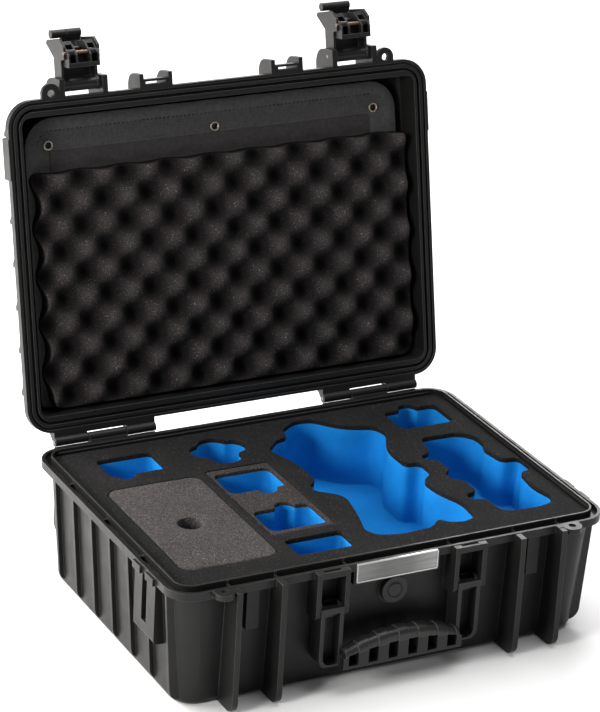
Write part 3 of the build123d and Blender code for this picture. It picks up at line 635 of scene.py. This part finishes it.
def fabric_sheet(name, loops, face, rear, relief, material):
    """A thin closed sheet: its face carries a relief, its rear is flat."""
    outer = loops[0]
    flat, tris = fill(loops, 3.2)
    edge = distances(flat, resample(outer, 1.0))
    points = [(x, y, face - relief(x, y, d)) for (x, y), d in zip(flat, edge)]
    faces = list(tris)
    rear_start = len(points)
    points += [(x, y, rear) for x, y in flat]
    faces += [tuple(rear_start + i for i in reversed(f)) for f in tris]
    start = 0
    for loop in loops:
        faces += ring_faces(start, rear_start + start, len(loop))
        start += len(loop)
    return add_piece(name, points, faces, material, "lid", OPENED, 50.0)


def step_up(value, edge, width):
    """0 before an edge and 1 after it, with a smooth ramp."""
    t = min(1.0, max(0.0, (value - edge) / width + 0.5))
    return t * t * (3 - 2 * t)


def panel_relief(x, y, d):
    """How far the back sheet stands out: a bound border, a sewn groove and pulled-in eyelets."""
    lift = 0.9 * (1 - step_up(d, BORDER, 2.0)) * step_up(d, 0.8, 1.8)
    lift -= 0.35 * math.exp(-((d - BORDER) / 1.4) ** 2)
    lift += 0.45 * noise.noise(Vector((x, y, 1.0)) * 0.022) + 0.2 * noise.noise(Vector((x, y, 5.0)) * 0.07)
    for ex, ey in EYELET_SPOTS:
        lift -= 0.5 * math.exp(-((x - ex) ** 2 + (y - ey) ** 2) / 60.0)
    return max(lift, -0.6)


def flap_relief(x, y, d):
    """The pocket front: a folded hem along the top, then cloth with a little slack."""
    hem = 0.5 * (1 - step_up(y, FLAP[2] + 14.0, 1.6)) * step_up(d, 0.4, 1.2)
    slack = 0.5 * noise.noise(Vector((x * 0.5, y, 2.0)) * 0.03)
    return max(0.0, 0.35 + hem + 0.35 * slack)


def band_relief(x, y, d):
    ribs = 0.22 * math.cos(2 * math.pi * (y - BAND[2]) / 2.9)
    sag = 0.3 * noise.noise(Vector((x, y, 1.0)) * 0.022)
    pull = sum(0.5 * math.exp(-((x - ex) ** 2 + (y - ey) ** 2) / 60.0) for ex, ey in EYELET_SPOTS)
    return 0.25 + ribs * step_up(d, 0.8, 1.0) + sag - pull


def stitches(line, pitch=4.6, length=3.1, width=1.3, lift=0.35):
    """Short raised stitches along a line of (x, y, z) points; returns points and faces."""
    line = np.asarray(line, float)
    along = np.concatenate([[0.0], np.cumsum(np.linalg.norm(np.diff(line, axis=0), axis=1))])
    points, faces = [], []
    for start in np.arange(0.0, along[-1] - length, pitch):
        ends = [np.array([np.interp(at, along, line[:, k]) for k in range(3)])
                for at in (start, start + length)]
        ahead = (ends[1] - ends[0]) / np.linalg.norm(ends[1] - ends[0])
        side = np.array([-ahead[1], ahead[0], 0.0]) * width / 2
        base = len(points)
        for place, rise in ((ends[0], 0.0), (ends[0] + ahead * 0.6, lift), (ends[1] - ahead * 0.6, lift),
                            (ends[1], 0.0)):
            for offset in (-side, side * 0, side):
                top = rise if not offset.any() else rise * 0.55
                points.append(tuple(place + offset - np.array([0.0, 0.0, top])))
        for k in range(3):
            for j in range(2):
                a = base + 3 * k + j
                faces.append((a, a + 1, a + 4, a + 3))
        faces.append((base, base + 3, base + 6, base + 9, base + 11, base + 8, base + 5, base + 2))
        faces.append((base, base + 2, base + 1))
        faces.append((base + 9, base + 10, base + 11))
    return points, faces


def seam_line(loop_2d, relief, level, outer):
    edge = distances(loop_2d, resample(outer, 1.0))
    return [(x, y, level - relief(x, y, d) + 0.05) for (x, y), d in zip(loop_2d, edge)]


def lathe(name, profile, x, y, material, turns=40):
    """A ring turned about a closed-lid vertical axis from (radius, height) points."""
    points, faces = [], []
    for k in range(turns):
        a = 2 * math.pi * k / turns
        points += [(x + r * math.cos(a), y + r * math.sin(a), z) for r, z in profile]
    count = len(profile)
    for k in range(turns):
        a, b = k * count, (k + 1) % turns * count
        for j in range(count):
            n = (j + 1) % count
            faces.append((a + j, a + n, b + n, b + j))
    return add_piece(name, points, faces, material, "lid", OPENED, 60.0)


def make_eyelets():
    """Rolled metal rings pressed through the pocket."""
    top = PANEL_FACE - 0.25
    profile = [(5.1, top), (5.15, top - 0.5), (4.85, top - 0.95), (4.3, top - 1.1), (3.75, top - 0.95),
               (3.35, top - 0.4), (3.2, top + 0.5), (3.15, top + 2.3), (3.4, top + 2.3), (3.5, top + 0.6),
               (3.8, top)]
    for place, (x, y) in zip(("left", "centre", "right"), EYELET_SPOTS):
        ring = lathe(f"eyelet_ring_{place}", profile, x, y, EYELET)
        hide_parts(f"eyelet_{place}")


def make_pocket():
    """Back sheet, webbing strip, pocket front and the stitching of the lid pocket."""
    holes = [circle(x, y, 3.4, 0.9) for x, y in EYELET_SPOTS]
    outer = rounded_box(*PANEL, (30.0, 4.0, 4.0, 30.0), 3.0)
    panel = fabric_sheet("pocket_back_sheet", [outer] + holes, PANEL_FACE, PANEL_REAR, panel_relief, FABRIC)
    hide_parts("pocket_panel")
    band_outer = rounded_box(*BAND, 0.6, 3.0)
    band = fabric_sheet("pocket_webbing", [band_outer] + holes, PANEL_FACE - 0.1, PANEL_FACE + 0.3,
                        band_relief, WEBBING)
    flap_outer = rounded_box(*FLAP, 1.5, 3.0)
    flap = fabric_sheet("pocket_front_sheet", [flap_outer], 155.1, 155.35, flap_relief, HEM)
    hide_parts("pocket_front")
    border = rounded_box(PANEL[0] + BORDER, PANEL[1] - BORDER, PANEL[2] + BORDER, PANEL[3] - BORDER,
                         (19.0, 3.0, 3.0, 19.0), 2.0)
    points, faces = [], []
    lines = [seam_line(np.vstack([border, border[:1]]), panel_relief, PANEL_FACE, outer)]
    for y in (BAND[2] + 1.3, BAND[3] - 1.3):
        row = np.array([(x, y) for x in np.arange(BAND[0] + 4, BAND[1] - 4, 2.0)])
        lines.append(seam_line(row, band_relief, PANEL_FACE - 0.1, band_outer))
    for line in lines:
        more, ties = stitches(line)
        faces += [tuple(len(points) + i for i in f) for f in ties]
        points += more
    thread = add_piece("pocket_stitching", points, faces, THREAD, "lid", OPENED, 60.0)


make_inlay()
make_egg_crate()
make_pocket()
make_eyelets()


# ---- floor, light and camera ----------------------------------------------------------------
def make_floor():
    s = Shader("studio_floor")
    tone = s.ramp(s.noise(3.0, 2.0), [(0.3, 0.86), (0.7, 0.89)])
    s.finish(tone, 0.8)
    size = 6.0
    data = bpy.data.meshes.new("floor")
    corners = [(-size, -size, 0), (size, -size, 0), (size, size, 0), (-size, size, 0)]
    data.from_pydata(corners, [], [(0, 1, 2, 3)])
    data.materials.append(s.material)
    floor = bpy.data.objects.new("floor", data)
    bpy.context.collection.objects.link(floor)


def area_light(name, place, aim, size, watts, tint=(1.0, 1.0, 1.0)):
    data = bpy.data.lights.new(name, "AREA")
    data.shape = "RECTANGLE"
    data.size, data.size_y = size
    data.energy = watts
    data.color = tint
    lamp = bpy.data.objects.new(name, data)
    lamp.location = place
    lamp.rotation_euler = (Vector(aim) - Vector(place)).to_track_quat("-Z", "Y").to_euler()
    bpy.context.collection.objects.link(lamp)


ROOM_LIGHT = 0.24                                   # what the white room adds to the lamps


def make_light():
    """A dim room, a soft key from above and a low panel behind on the left."""
    world = bpy.data.worlds.new("studio")
    world.use_nodes = True
    tree = world.node_tree
    background = tree.nodes["Background"]
    background.inputs["Color"].default_value = (1.0, 1.0, 1.0, 1.0)
    seen = tree.nodes.new("ShaderNodeLightPath").outputs["Is Camera Ray"]
    strength = tree.nodes.new("ShaderNodeMapRange")
    strength.inputs["To Min"].default_value = ROOM_LIGHT
    strength.inputs["To Max"].default_value = 1.0
    tree.links.new(seen, strength.inputs["Value"])
    tree.links.new(strength.outputs[0], background.inputs["Strength"])
    bpy.context.scene.world = world
    area_light("rim_panel", (-1.35, 0.85, 0.75), (-0.3, 0.1, 0.0), (1.4, 1.0), 60, (1.0, 0.97, 0.94))
    area_light("key_left", (-2.2, -0.75, 1.1), (0, 0.1, 0.3), (0.6, 0.6), 44, (1.0, 0.985, 0.97))
    area_light("top_soft", (0.2, 0.1, 2.3), (0, 0, 0.1), (1.8, 1.4), 44)
    area_light("back_panel", (1.3, 2.4, 1.5), (0, 0, 0.1), (1.8, 1.0), 60)


def make_camera():
    """A long lens from the front left, 24 degrees above the floor."""
    place = Vector((-1.33331, -2.40322, 1.44381))
    right = Vector((0.89011607, -0.4530295, 0.0495747))
    down = Vector((-0.14182334, -0.37873678, -0.91457345))
    forward = Vector((0.43310451, 0.80704568, -0.40136985))
    data = bpy.data.cameras.new("camera")
    data.sensor_fit = "AUTO"
    data.sensor_width = 36.0
    data.lens = 155.67
    data.shift_x, data.shift_y = 0.0202, 0.0334
    data.clip_end = 30.0
    camera = bpy.data.objects.new("camera", data)
    axes = Matrix((right, -down, -forward)).transposed().to_4x4()
    camera.matrix_world = Matrix.Translation(place) @ axes
    bpy.context.collection.objects.link(camera)
    bpy.context.scene.camera = camera


make_floor()
make_light()
make_camera()
bpy.context.scene.view_settings.view_transform = "Standard"
